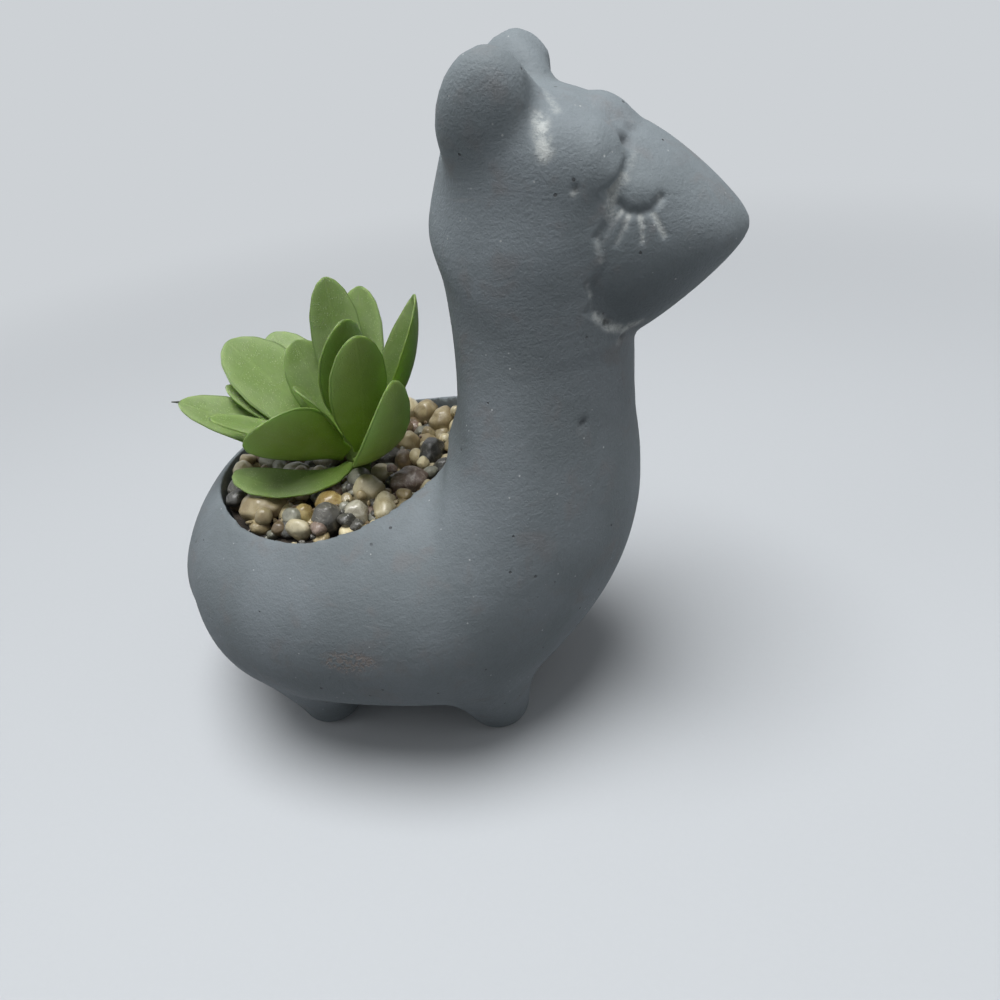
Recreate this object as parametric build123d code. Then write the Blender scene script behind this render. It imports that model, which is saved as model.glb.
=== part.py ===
"""A small cement planter in the shape of a standing llama, with a gravel bed and a plastic succulent.

While the pieces are made, the axis of the planting well is X = Y = 0. The animal heads along +X, its left
side is +Y and +Z is up from the table. At the end everything is moved so that the origin is the middle
of the footprint.
"""
from build123d import *
import math
import os

# Driving sizes of the casting, in millimetres
well_radius = 26.0
neck_lap = 1.0
well_floor_height = 20.0
well_corner = 6.0
rump_reach = 40.6
body_width = 76.0
back_height = 62.0
head_height = 119.0
neck_depth = 32.0
neck_width = 33.0
snout_reach = 24.5
snout_width = 26.0
ear_height = 21.5
ear_breadth = 14.2
ear_thickness = 10.0
ear_dish_depth = 2.8
ear_lean = 11.0
ear_splay = 15.0
forelock_radius = 6.4
ear_lip_length = 15.0
ear_lip_width = 7.0
ear_lip_thickness = 5.0
ear_lip_lean = 31.0
ear_lip_splay = 36.0
foot_sole_radius = 6.6
foot_taper = 2.4
foot_height = 16.0
foot_round = 2.8
feet_middle = 8.4
feet_length = 37.6
front_feet_width = 30.0
rear_feet_width = 33.8

# Driving sizes of the filling, in millimetres
foam_gap = 0.5
foam_top_height = 51.8
stone_size = 6.6
stone_gap = 0.12
wall_clearance = 1.3
stem_clearance = 0.35

# Driving sizes of the plant, in millimetres
peg_radius = 1.5
peg_length = 22.0
peg_gap = 0.1
peg_hole_extra = 1.0
stem_radius = 2.1
stem_top_radius = 1.5
gravel_depth = 4.2
leafy_stem_length = 6.0
stem_x = 1.5
stem_y = -1.0
leaf_reach = 33.0
leaf_breadth = 15.0
leaf_thickness = 1.1
leaf_edge = 0.5
leaf_seat_gap = 0.05

# A cylinder that stands on its floor instead of on its middle
STANDING = (Align.CENTER, Align.CENTER, Align.MIN)
RADIAN = 180 / math.pi
golden_angle = math.pi * (3 - math.sqrt(5))

# One length that takes each cutting tool past the face that it cuts
overrun = 5.0

# Trunk sections: back point, belly point and full width, from the rump to the shoulders. Lengths behind
# the well's axis are shares of rump_reach, heights of back_height and widths of body_width.
RUMP_SHARES = [
    (1.00, 0.58, 1.00, 0.49, 0.106),
    (0.88, 0.70, 0.89, 0.38, 0.40),
    (0.75, 0.83, 0.67, 0.265, 0.63),
    (0.53, 0.94, 0.47, 0.157, 0.86),
    (0.03, 0.995, 0.155, 0.113, 1.00),
]
# Shoulder section: as the trunk's, with lengths as shares of well_radius in front of the axis.
SHOULDER_SHARES = [
    (0.90, 1.02, 0.58, 0.107, 1.00),
]
# Neck sections: back and chest points as shares of neck_depth in front of the well. Heights of the back
# are shares of the rise from back_height to head_height, those of the chest are shares of head_height.
# Widths run from neck_width, at 0, to body_width, at 1.
NECK_SHARES = [
    (-0.04, 0.08, 0.25, 0.075, 0.87),
    (0.03, 0.19, 0.65, 0.180, 0.64),
    (0.04, 0.33, 0.91, 0.304, 0.43),
    (0.03, 0.45, 1.01, 0.434, 0.23),
    (0.01, 0.56, 0.99, 0.569, 0.08),
    (-0.03, 0.67, 0.99, 0.683, 0.02),
]
# Hood sections: as the neck's, with widths as shares of neck_width.
HOOD_SHARES = [
    (0.03, 0.785, 0.98, 0.803, 0.97),
    (0.16, 0.930, 1.03, 0.930, 0.90),
    (0.31, 0.978, 0.84, 0.980, 0.58),
    (0.52, 0.995, 0.66, 0.993, 0.20),
]
# Snout sections: top and chin points as shares of snout_reach in front of the snout's root and of
# head_height, and widths as shares of snout_width.
SNOUT_SHARES = [
    (0.00, 0.985, -0.05, 0.655, 1.00),
    (0.36, 0.960, 0.35, 0.680, 0.98),
    (0.62, 0.926, 0.65, 0.722, 0.88),
    (0.86, 0.882, 0.86, 0.760, 0.70),
    (1.02, 0.846, 0.98, 0.785, 0.44),
    (1.07, 0.830, 1.055, 0.802, 0.20),
]
snout_root_share = 0.72
well_top_share = 0.18
bevel_share = 0.3
DISH_SHARES = (0.5, 0.7, 0.72)
dish_lift_share = 0.1
snout_tip_share = 1.075
rump_tip_share = 1.005

# Each key section is followed by steps that ease into the next one. The casting's skin turns through
# more than half a circle from rump to crown, so it is lofted in two spans that share a section.
steps_per_section = 2
span_break = len(RUMP_SHARES) + len(SHOULDER_SHARES) + 4

# Ear, ear lip and forelock places: shares of neck_depth in front of the neck's back, of neck_width to the
# side and of head_height up.
EAR_PLACE_SHARES = (0.38, 0.31, 0.970)
EAR_LIP_SHARES = (0.50, 0.26, 1.005)
FORELOCK_SHARES = [
    (0.83, 0.00, 0.934),
    (0.79, 0.22, 0.916),
    (0.79, -0.22, 0.916),
]

# Outline of a stone seen from above, as shares of its half length and half width, and its levels: shares
# of its half thickness with the share of the outline that is left there.
STONE_OUTLINE_SHARES = (1.00, 0.94, 0.99, 0.92, 0.97, 1.00, 0.93)
STONE_LEVEL_SHARES = [
    (-0.90, 0.42),
    (-0.35, 0.90),
    (0.30, 0.94),
    (0.88, 0.45),
]

# The stones that lie open to view: kind, place in shares of well_radius, length, width and thickness in
# shares of stone_size, and the direction of the length in degrees.
STONE_SHARES = [
    ("tan", -0.48, -0.63, 1.42, 1.20, 0.80, 20),
    ("brown", -0.22, -0.64, 0.84, 0.60, 0.50, 30),
    ("amber", 0.00, -0.54, 0.94, 0.76, 0.60, 10),
    ("amber", -0.13, -0.72, 0.70, 0.66, 0.70, 0),
    ("black", 0.09, -0.80, 0.85, 0.78, 0.95, 60),
    ("quartz", 0.27, -0.71, 0.85, 0.80, 0.90, 30),
    ("grey", 0.15, -0.27, 0.80, 0.72, 0.72, 20),
    ("cream", 0.28, -0.44, 0.94, 0.88, 0.95, 0),
    ("cream", 0.45, -0.62, 1.22, 0.76, 0.85, 100),
    ("tan", 0.28, -0.58, 0.42, 0.36, 0.36, 0),
    ("red", 0.54, -0.28, 1.22, 0.92, 0.80, 20),
    ("black", 0.61, 0.12, 1.18, 0.78, 0.85, 80),
    ("black", 0.76, -0.10, 0.66, 0.60, 0.70, 30),
    ("tan", 0.36, 0.30, 0.80, 0.68, 0.70, 20),
    ("brown", 0.40, 0.04, 0.70, 0.56, 0.65, 100),
    ("tan", 0.49, 0.44, 0.52, 0.50, 0.60, 0),
    ("tan", 0.58, 0.62, 1.10, 0.92, 0.95, 60),
    ("cream", 0.21, 0.84, 0.78, 0.76, 0.85, 0),
    ("tan", 0.40, 0.76, 0.84, 0.74, 0.90, 40),
    ("cream", 0.70, 0.60, 0.40, 0.36, 0.45, 0),
    ("black", -0.77, -0.41, 0.76, 0.70, 0.75, 60),
    ("cream", -0.87, -0.15, 0.68, 0.66, 0.75, 90),
    ("red", -0.86, 0.13, 0.72, 0.60, 0.60, 80),
    ("grey", -0.66, 0.02, 1.20, 0.76, 0.75, 25),
    ("tan", -0.44, 0.12, 0.80, 0.70, 0.70, 30),
    ("quartz", -0.44, -0.12, 0.86, 0.56, 0.60, 25),
    ("cream", -0.22, -0.16, 0.60, 0.46, 0.55, 20),
    ("cream", -0.10, -0.88, 0.76, 0.40, 0.66, 0),
    ("brown", -0.26, -0.85, 0.54, 0.48, 0.50, 10),
    ("grey", 0.66, -0.60, 0.54, 0.36, 0.40, 45),
    ("black", 0.11, -0.40, 0.40, 0.40, 0.50, 0),
    ("tan", -0.82, 0.34, 0.44, 0.42, 0.50, 0),
]
STONE_KINDS = ("tan", "brown", "cream", "grey", "amber", "black", "quartz", "red")
least_fit_share = 0.75
# The rest of the bed: places tried along a sunflower spiral, from the wall inwards.
spiral_places = 190
spiral_edge_share = 0.94
largest_filler_share = 0.92
smallest_filler_share = 0.42
filler_width_share = 0.86
filler_height_share = 0.72

leaf_thinning_share = 0.35
# Leaf outline: shares of the length with the share of the width there.
LEAF_OUTLINE_SHARES = [
    (0.00, 0.24),
    (0.10, 0.34),
    (0.24, 0.66),
    (0.42, 0.93),
    (0.60, 1.00),
    (0.77, 0.91),
    (0.90, 0.65),
    (0.97, 0.36),
    (1.00, 0.10),
]
# The leaves: name, height of the seat on the stem as a share of its way from the gravel to its top, compass
# direction, turn of that direction on the way to the tip, rise and upward curl, all in degrees, length and
# width as shares of leaf_reach and leaf_breadth, and fold and roll in degrees.
LEAVES = [
    ("leaf_01_back_upright", 1.00, 98, 12, 77, 10, 0.873, 0.653, 14, 8),
    ("leaf_02_back_upright", 0.62, 80, 0, 66, 14, 0.879, 0.773, 14, 0),
    ("leaf_03_neck_side", 0.92, 12, 0, 60, 84, 1.000, 0.573, 42, 20),
    ("leaf_04_rear_broad", 0.52, 170, 0, 44, 6, 0.897, 1.000, 12, -18),
    ("leaf_05_rear_broad", 0.32, 140, 0, 36, 6, 0.924, 0.867, 12, -10),
    ("leaf_06_rear_upright", 0.77, 158, 0, 69, 8, 0.618, 0.760, 14, -16),
    ("leaf_07_inner", 0.97, 318, 12, 79, 10, 0.758, 0.840, 14, 10),
    ("leaf_08_front_upright", 0.42, 318, 0, 71, 38, 0.855, 0.800, 16, 0),
    ("leaf_09_front", 0.18, 308, 36, 49, 88, 0.970, 0.800, 14, 0),
    ("leaf_10_rear_long", 0.10, 197, 0, 31, 14, 0.982, 0.747, 18, -14),
    ("leaf_11_rear_inner", 0.36, 218, 0, 34, 10, 0.812, 0.467, 18, -10),
    ("leaf_12_rear_small", 0.28, 186, 0, 38, 8, 0.770, 0.453, 14, -16),
    ("leaf_13_front_broad", 0.34, 247, -6, 38, 20, 0.727, 0.973, 14, 52),
    ("leaf_14_inner_small", 0.96, 229, 0, 62, 14, 0.442, 0.573, 16, -8),
    ("leaf_15_low", 0.02, 260, -112, 8, 30, 0.788, 0.560, 18, -8),
]

# Values worked out from the sizes above
neck_back = well_radius - neck_lap
head_rise = head_height - back_height
gravel_height = foam_top_height + gravel_depth
stem_top_height = gravel_height + leafy_stem_length
foam_radius = well_radius - foam_gap
bed_radius = well_radius - wall_clearance
snout_root = neck_back + snout_root_share * neck_depth
snout_tip = snout_root + snout_tip_share * snout_reach
rump_tip = -rump_tip_share * rump_reach


def trunk_keys():
    """Key sections of the trunk, neck and hood: back x and z, belly x and z, and width."""
    keys = []
    for back_x, back_z, belly_x, belly_z, width in RUMP_SHARES:
        back = (-back_x * rump_reach, back_z * back_height)
        belly = (-belly_x * rump_reach, belly_z * back_height)
        keys.append((*back, *belly, width * body_width))
    for back_x, back_z, belly_x, belly_z, width in SHOULDER_SHARES:
        back = (back_x * well_radius, back_z * back_height)
        belly = (belly_x * well_radius, belly_z * back_height)
        keys.append((*back, *belly, width * body_width))
    for back_x, back_z, chest_x, chest_z, spread in NECK_SHARES:
        back = (neck_back + back_x * neck_depth, back_height + back_z * head_rise)
        chest = (neck_back + chest_x * neck_depth, chest_z * head_height)
        keys.append((*back, *chest, neck_width + spread * (body_width - neck_width)))
    for back_x, back_z, chest_x, chest_z, width in HOOD_SHARES:
        back = (neck_back + back_x * neck_depth, back_height + back_z * head_rise)
        chest = (neck_back + chest_x * neck_depth, chest_z * head_height)
        keys.append((*back, *chest, width * neck_width))
    return keys


def snout_keys():
    """Key sections of the snout: top x and z, chin x and z, and width."""
    keys = []
    for top_x, top_z, chin_x, chin_z, width in SNOUT_SHARES:
        top = (snout_root + top_x * snout_reach, top_z * head_height)
        chin = (snout_root + chin_x * snout_reach, chin_z * head_height)
        keys.append((*top, *chin, width * snout_width))
    return keys


def eased(before, start, end, after, share):
    """A section part of the way from start to end, on a curve that also heeds their neighbours."""
    values = []
    for a, b, c, d in zip(before, start, end, after):
        slope = (c - a) * share
        bow = (2 * a - 5 * b + 4 * c - d) * share**2
        turn = (3 * b - a - 3 * c + d) * share**3
        values.append(b + (slope + bow + turn) / 2)
    return values


def ring(section):
    """The elliptical face of one section."""
    back_x, back_z, belly_x, belly_z, width = section
    back = Vector(back_x, 0, back_z)
    belly = Vector(belly_x, 0, belly_z)
    across = belly - back
    plane = Plane(origin=(back + belly) / 2, x_dir=across, z_dir=Vector(0, 1, 0).cross(across))
    return plane * Ellipse(across.length / 2, width / 2)


def rings(keys):
    """The faces of all key sections with the eased ones between them."""
    row = [keys[0], *keys, keys[-1]]
    faces = []
    for number in range(len(keys) - 1):
        for step in range(steps_per_section):
            share = step / steps_per_section
            faces.append(ring(eased(*row[number:number + 4], share)))
    faces.append(ring(keys[-1]))
    return faces


def skin():
    """The trunk, the neck with its hood and the snout as one closed form."""
    faces = rings(trunk_keys())
    seam = span_break * steps_per_section
    first = trunk_keys()[0]
    rump = Vertex(rump_tip, 0, (first[1] + first[3]) / 2)
    trunk = loft([rump, *faces[:seam + 1]])
    hood = loft(faces[seam:])
    last = snout_keys()[-1]
    tip = Vertex(snout_tip, 0, (last[1] + last[3]) / 2)
    return trunk + hood + loft([*rings(snout_keys()), tip])


def egg(length, width, height):
    """An ellipsoid with the given full sizes along X, Y and Z."""
    return scale(Sphere(1), by=(length / 2, width / 2, height / 2))


def head_place(shares, side):
    """A place on the head, told by its shares."""
    share_x, share_y, share_z = shares
    return Pos(neck_back + share_x * neck_depth, side * share_y * neck_width, share_z * head_height)


def ear(side):
    """One ear: an upright lobe with a shallow dish in its front and a lip that runs down to the crown."""
    lobe = egg(ear_breadth, ear_thickness, ear_height)
    dish_length, dish_width, dish_height = DISH_SHARES
    dish = egg(dish_length * ear_breadth, dish_width * ear_thickness, dish_height * ear_height)
    dish_x = ear_breadth / 2 + dish_length * ear_breadth / 2 - ear_dish_depth
    dish = Pos(dish_x, 0, dish_lift_share * ear_height) * dish
    lobe = head_place(EAR_PLACE_SHARES, side) * Rot(-side * ear_splay, ear_lean, 0) * (lobe - dish)
    lip = egg(ear_lip_thickness, ear_lip_width, ear_lip_length)
    return lobe + head_place(EAR_LIP_SHARES, side) * Rot(-side * ear_lip_splay, -ear_lip_lean, 0) * lip


def foot(x, y):
    """One stubby leg, a cone with a sole rounded in two bevels."""
    edge = foot_sole_radius - foot_round
    corner = foot_sole_radius - foot_round * bevel_share
    profile = Polyline(
        (0, 0),
        (edge, 0),
        (corner, foot_round * bevel_share),
        (foot_sole_radius, foot_round),
        (foot_sole_radius + foot_taper, foot_height),
        (0, foot_height),
        close=True,
    )
    return Pos(x, y, 0) * revolve(Plane.XZ * make_face(profile), Axis.Z)


def well():
    """The space of the planting well, with a bevelled floor corner."""
    height = back_height + head_rise * well_top_share - well_floor_height
    space = Cylinder(well_radius, height, align=STANDING)
    floor = space.faces().sort_by(Axis.Z)[0]
    return Pos(0, 0, well_floor_height) * chamfer(floor.edges(), well_corner)


def make_pot():
    """The casting: body, head, ears, forelock and feet in one piece, with its well."""
    pot = skin()
    for side in (-1, 1):
        pot += ear(side)
        pot += foot(feet_middle + feet_length / 2, side * front_feet_width / 2)
        pot += foot(feet_middle - feet_length / 2, side * rear_feet_width / 2)
    for shares in FORELOCK_SHARES:
        pot += head_place(shares, 1) * Sphere(forelock_radius)
    return pot - well()


def make_foam():
    """The foam disc that fills the well under the gravel, with the hole for the plant's peg."""
    disc = Cylinder(foam_radius, foam_top_height - well_floor_height, align=STANDING)
    floor = disc.faces().sort_by(Axis.Z)[0]
    disc = chamfer(floor.edges(), well_corner)
    hole_depth = peg_length + peg_hole_extra
    hole = Cylinder(peg_radius + peg_gap, hole_depth + overrun, align=STANDING)
    hole_floor = foam_top_height - well_floor_height - hole_depth
    return Pos(0, 0, well_floor_height) * (disc - Pos(stem_x, stem_y, hole_floor) * hole)


def reach(stone, angle):
    """How far a stone's outline reaches to a line square to this direction."""
    turned = angle - math.radians(stone["turn"])
    return math.hypot(stone["length"] / 2 * math.cos(turned), stone["width"] / 2 * math.sin(turned))


def fit_share(stone, bed):
    """The share of its size at which a stone lies beside the stones already there, within limits."""
    share = 1
    for other in bed:
        apart = math.hypot(other["x"] - stone["x"], other["y"] - stone["y"])
        angle = math.atan2(other["y"] - stone["y"], other["x"] - stone["x"])
        share = min(share, (apart - stone_gap - reach(other, angle)) / reach(stone, angle))
    return max(share, least_fit_share)


def settled(stone, bed):
    """The height of a stone's middle when it is let down on the foam and the stones already there."""
    lowest = -STONE_LEVEL_SHARES[0][0]
    height = foam_top_height + stone_gap + lowest * stone["height"] / 2
    for other in bed:
        apart = math.hypot(other["x"] - stone["x"], other["y"] - stone["y"])
        angle = math.atan2(other["y"] - stone["y"], other["x"] - stone["x"])
        touch = reach(stone, angle) + reach(other, angle) + stone_gap
        if apart < touch:
            rise = (stone["height"] + other["height"]) / 2 + stone_gap
            height = max(height, other["z"] + rise * math.sqrt(1 - (apart / touch) ** 2))
    return height


def room(x, y, bed):
    """The radius of the largest round stone that would lie flat at this place."""
    free = bed_radius - math.hypot(x, y)
    free = min(free, math.hypot(x - stem_x, y - stem_y) - stem_radius - stem_clearance)
    for other in bed:
        apart = math.hypot(other["x"] - x, other["y"] - y)
        angle = math.atan2(other["y"] - y, other["x"] - x)
        free = min(free, apart - reach(other, angle) - stone_gap)
    return free


def gravel_bed():
    """All stones of the bed: the ones open to view first, then whatever fits between them."""
    bed = []
    for kind, share_x, share_y, length, width, height, turn in STONE_SHARES:
        stone = {"kind": kind, "x": share_x * well_radius, "y": share_y * well_radius, "turn": turn}
        stone |= {"length": length * stone_size, "width": width * stone_size}
        share = fit_share(stone, bed)
        stone["height"] = height * stone_size * share
        stone["length"] *= share
        stone["width"] *= share
        stone["z"] = settled(stone, bed)
        bed.append(stone)
    for number in range(spiral_places):
        radius = bed_radius * math.sqrt(1 - number / spiral_places)
        angle = number * golden_angle
        x = radius * math.cos(angle) * spiral_edge_share
        y = radius * math.sin(angle) * spiral_edge_share
        length = min(2 * room(x, y, bed), largest_filler_share * stone_size)
        if length >= smallest_filler_share * stone_size:
            stone = {"kind": STONE_KINDS[number % len(STONE_KINDS)], "x": x, "y": y}
            stone |= {"turn": number * golden_angle * RADIAN, "length": length}
            stone |= {"width": length * filler_width_share, "height": length * filler_height_share}
            stone["z"] = settled(stone, bed)
            bed.append(stone)
    return bed


def stone_solid(stone, number):
    """One stone with flat facets, its outline started at another corner each time."""
    corners = len(STONE_OUTLINE_SHARES)
    points = []
    for level, left in STONE_LEVEL_SHARES:
        for corner in range(corners):
            angle = 2 * math.pi * corner / corners
            share = left * STONE_OUTLINE_SHARES[(corner + number) % corners]
            x = share * stone["length"] / 2 * math.cos(angle)
            y = share * stone["width"] / 2 * math.sin(angle)
            points.append((x, y, level * stone["height"] / 2))
    place = Pos(stone["x"], stone["y"], stone["z"]) * Rot(0, 0, stone["turn"])
    return place * ConvexPolyhedron(points)


def make_stem():
    """The plant's stem with the peg that stands in the foam."""
    profile = Polyline(
        (0, foam_top_height - peg_length),
        (peg_radius, foam_top_height - peg_length),
        (peg_radius, foam_top_height),
        (stem_radius, foam_top_height),
        (stem_radius, gravel_height),
        (stem_top_radius, stem_top_height),
        (0, stem_top_height),
        close=True,
    )
    return Pos(stem_x, stem_y, 0) * revolve(Plane.XZ * make_face(profile), Axis.Z)


def leaf_directions(leaf, share):
    """The run of a leaf's midrib, the direction across the leaf and the one out of its upper face."""
    heading = leaf["heading"] + leaf["sweep"] * share
    climb = leaf["rise"] + leaf["curl"] * (share - 0.5)
    up = Vector(0, 0, 1)
    outward = Vector(math.cos(heading), math.sin(heading), 0)
    side = up.cross(outward)
    face = up * math.cos(climb) - outward * math.sin(climb)
    across = side * math.cos(leaf["roll"]) + face * math.sin(leaf["roll"])
    upward = face * math.cos(leaf["roll"]) - side * math.sin(leaf["roll"])
    return outward * math.cos(climb) + up * math.sin(climb), across, upward


def leaf_seat(leaf):
    """The start of a leaf's midrib, just clear of the stem's skin."""
    height = gravel_height + leaf["seat"] * leafy_stem_length
    stem_here = stem_radius + leaf["seat"] * (stem_top_radius - stem_radius)
    stalk = LEAF_OUTLINE_SHARES[0][1]
    lift = stalk**2 * leaf["width"] / 2 * math.tan(leaf["fold"])
    out = stem_here + leaf_seat_gap + (leaf_thickness / 2 + lift) * abs(leaf_directions(leaf, 0)[0].Z)
    return Vector(stem_x + out * math.cos(leaf["heading"]), stem_y + out * math.sin(leaf["heading"]), height)


def leaf_sections(leaf):
    """The corners of a leaf's sections: two thin edges, a valley above and a keel below."""
    sections = []
    point = leaf_seat(leaf)
    before = 0
    for share, width_share in LEAF_OUTLINE_SHARES:
        run = leaf_directions(leaf, (before + share) / 2)[0]
        point += run * leaf["length"] * (share - before)
        before = share
        across, upward = leaf_directions(leaf, share)[1:]
        half = width_share * leaf["width"] / 2
        lift = half * width_share * math.tan(leaf["fold"])
        thinning = 1 - leaf_thinning_share * share
        middle = leaf_thickness / 2 * thinning
        edge = leaf_edge / 2 * thinning
        corners = [(-half, lift + edge), (0, middle), (half, lift + edge)]
        corners += [(half, lift - edge), (0, -middle), (-half, lift - edge)]
        sections.append([point + across * x + upward * y for x, y in corners])
    return sections


def flat_face(points):
    """The flat face inside a closed row of corners."""
    return Face(Wire.make_polygon(points, close=True))


def make_leaf(seat, heading, sweep, rise, curl, length, width, fold, roll):
    """One leaf, a closed skin of flat facets from its stalk to its tip."""
    leaf = {"seat": seat, "length": length * leaf_reach, "width": width * leaf_breadth}
    leaf |= {"heading": math.radians(heading), "sweep": math.radians(sweep)}
    leaf |= {"rise": math.radians(rise), "curl": math.radians(curl)}
    leaf |= {"fold": math.radians(fold), "roll": math.radians(roll)}
    sections = leaf_sections(leaf)
    facets = [flat_face(sections[0]), flat_face(sections[-1])]
    for near, far in zip(sections, sections[1:]):
        for corner in range(len(near)):
            following = (corner + 1) % len(near)
            facets.append(flat_face([near[corner], near[following], far[following]]))
            facets.append(flat_face([near[corner], far[following], far[corner]]))
    return Solid(Shell(facets))


def export(name, shape):
    """Write one node with the origin in the middle of the footprint."""
    export_step(Pos(-(snout_tip + rump_tip) / 2, 0, 0) * shape, f"parts/{name}.step")


os.makedirs("parts", exist_ok=True)
export("pot", make_pot())
export("foam_plug", make_foam())
bed = gravel_bed()
for kind in STONE_KINDS:
    stones = [stone_solid(stone, number) for number, stone in enumerate(bed) if stone["kind"] == kind]
    export(f"pebbles_{kind}", Compound(stones))
export("stem", make_stem())
for name, *sizes in LEAVES:
    export(name, make_leaf(*sizes))
tops = [stone["z"] + stone["height"] / 2 for stone in bed]
print("stones:", len(bed), "highest top:", round(max(tops), 1))
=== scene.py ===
"""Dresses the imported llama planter: cement skin, gravel bed, plastic succulent, pale table and soft lamps."""

import math
import random

import bpy
import numpy as np
from mathutils import Euler, Matrix, Vector
from mathutils.bvhtree import BVHTree


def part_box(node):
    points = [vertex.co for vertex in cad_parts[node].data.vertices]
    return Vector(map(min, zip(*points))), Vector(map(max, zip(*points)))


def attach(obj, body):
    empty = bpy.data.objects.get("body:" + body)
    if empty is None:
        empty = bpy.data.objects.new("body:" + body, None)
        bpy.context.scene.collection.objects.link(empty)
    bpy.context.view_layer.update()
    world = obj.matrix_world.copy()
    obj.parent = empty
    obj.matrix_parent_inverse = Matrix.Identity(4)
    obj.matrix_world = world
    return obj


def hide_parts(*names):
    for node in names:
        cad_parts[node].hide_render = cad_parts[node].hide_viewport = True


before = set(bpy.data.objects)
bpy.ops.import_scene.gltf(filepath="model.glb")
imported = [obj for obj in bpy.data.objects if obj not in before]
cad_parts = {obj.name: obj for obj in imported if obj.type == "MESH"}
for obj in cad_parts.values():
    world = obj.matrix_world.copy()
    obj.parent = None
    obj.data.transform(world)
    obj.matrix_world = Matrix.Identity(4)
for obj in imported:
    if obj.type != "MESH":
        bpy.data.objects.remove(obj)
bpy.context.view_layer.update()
bpy.ops.object.select_all(action="DESELECT")

MM = 0.001


def linear(share):
    """The linear value of a colour channel that runs from 0 to 1 on a screen."""
    if share > 0.04045:
        return ((share + 0.055) / 1.055) ** 2.4
    return share / 12.92


def paint(red, green, blue):
    """A colour in screen steps of 0 to 255, turned into the linear values that a shader takes."""
    return tuple(linear(value / 255) for value in (red, green, blue))


class Wire:
    """An output socket of a finish. Arithmetic on it adds Math nodes."""

    def __init__(self, finish, socket):
        self.finish = finish
        self.socket = socket

    def math(self, operation, first, second):
        return self.finish.node("Math", {"operation": operation}, {0: first, 1: second})

    def __add__(self, other):
        return self.math("ADD", self, other)

    def __radd__(self, other):
        return self.math("ADD", other, self)

    def __sub__(self, other):
        return self.math("SUBTRACT", self, other)

    def __rsub__(self, other):
        return self.math("SUBTRACT", other, self)

    def __mul__(self, other):
        return self.math("MULTIPLY", self, other)

    def __rmul__(self, other):
        return self.math("MULTIPLY", other, self)

    def most(self, other):
        """The greater of two values."""
        return self.math("MAXIMUM", self, other)

    def rise(self, low, high):
        """0 on the side of low, 1 on the side of high and a soft step between them."""
        values = {"Value": self, "From Min": low, "From Max": high}
        return self.finish.node("MapRange", {"interpolation_type": "SMOOTHSTEP"}, values)


class Finish:
    """A material with a Principled shader, written as expressions on its sockets."""

    def __init__(self, name, **constants):
        self.material = bpy.data.materials.new(name)
        self.material.use_nodes = True
        self.nodes = self.material.node_tree.nodes
        self.links = self.material.node_tree.links
        self.shader = self.nodes["Principled BSDF"]
        self.place = self.node("TexCoord", {}, {}, "Object")
        for socket, value in constants.items():
            self.set(socket.replace("_", " ").title(), value)

    def feed(self, socket, value):
        """Gives a socket a wire, a colour or a number."""
        if isinstance(value, Wire):
            self.links.new(value.socket, socket)
        elif socket.type == "RGBA" and len(value) == 3:
            socket.default_value = (*value, 1)
        else:
            socket.default_value = value

    def node(self, kind, settings, values, output=0):
        """Any shader node: its settings first, then the values or wires of its sockets."""
        made = self.nodes.new("ShaderNode" + kind)
        for name, value in settings.items():
            setattr(made, name, value)
        for name, value in values.items():
            self.feed(made.inputs[name], value)
        return Wire(self, made.outputs[output])

    def set(self, socket, value):
        self.feed(self.shader.inputs[socket], value)

    def moved(self, shift=(0, 0, 0), stretch=(1, 1, 1)):
        """The place on the piece, moved and stretched for a pattern."""
        values = {"Vector": self.place, "Location": shift, "Scale": stretch}
        return self.node("Mapping", {}, values)

    def noise(self, scale, detail=3, roughness=0.5, place=None, distortion=0):
        values = {"Vector": place or self.place, "Scale": scale, "Detail": detail}
        values |= {"Roughness": roughness, "Distortion": distortion}
        return self.node("TexNoise", {}, values)

    def cells(self, scale, output="Distance"):
        return self.node("TexVoronoi", {}, {"Vector": self.place, "Scale": scale}, output)

    def mark(self, name):
        """A value that is stored on the piece's points."""
        return self.node("Attribute", {"attribute_name": name}, {}, "Fac")

    def part(self, vector, axis):
        """One of the three parts of a vector."""
        return self.node("SeparateXYZ", {}, {0: vector}, axis)

    def length(self, vector):
        return self.node("VectorMath", {"operation": "LENGTH"}, {0: vector}, "Value")

    def mix(self, first, second, share):
        return self.node("Mix", {"data_type": "RGBA"}, {0: share, 6: first, 7: second}, 2)

    def tint(self, colour, level):
        """A colour made lighter or darker by a level around 1."""
        return self.node("VectorMath", {"operation": "SCALE"}, {0: colour, "Scale": level})

    def relief(self, height, depth, under=None):
        """The surface's tilt where a height varies, on top of a coarser relief where there is one."""
        values = {"Height": height, "Distance": depth}
        if under:
            values["Normal"] = under
        return self.node("Bump", {}, values)


def only(piece):
    """Selects one piece and makes it the active one."""
    bpy.ops.object.select_all(action="DESELECT")
    piece.select_set(True)
    bpy.context.view_layer.objects.active = piece


def modify(piece, kind, **settings):
    """Puts a modifier on a piece and applies it."""
    only(piece)
    step = piece.modifiers.new(kind.lower(), kind)
    for name, value in settings.items():
        setattr(step, name, value)
    bpy.ops.object.modifier_apply(modifier=step.name)


def join(pieces, name):
    """Joins pieces into one with that name."""
    bpy.ops.object.select_all(action="DESELECT")
    for piece in pieces:
        piece.select_set(True)
    bpy.context.view_layer.objects.active = pieces[0]
    if len(pieces) > 1:
        bpy.ops.object.join()
    pieces[0].name = name
    pieces[0].data.name = name
    return pieces[0]


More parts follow.
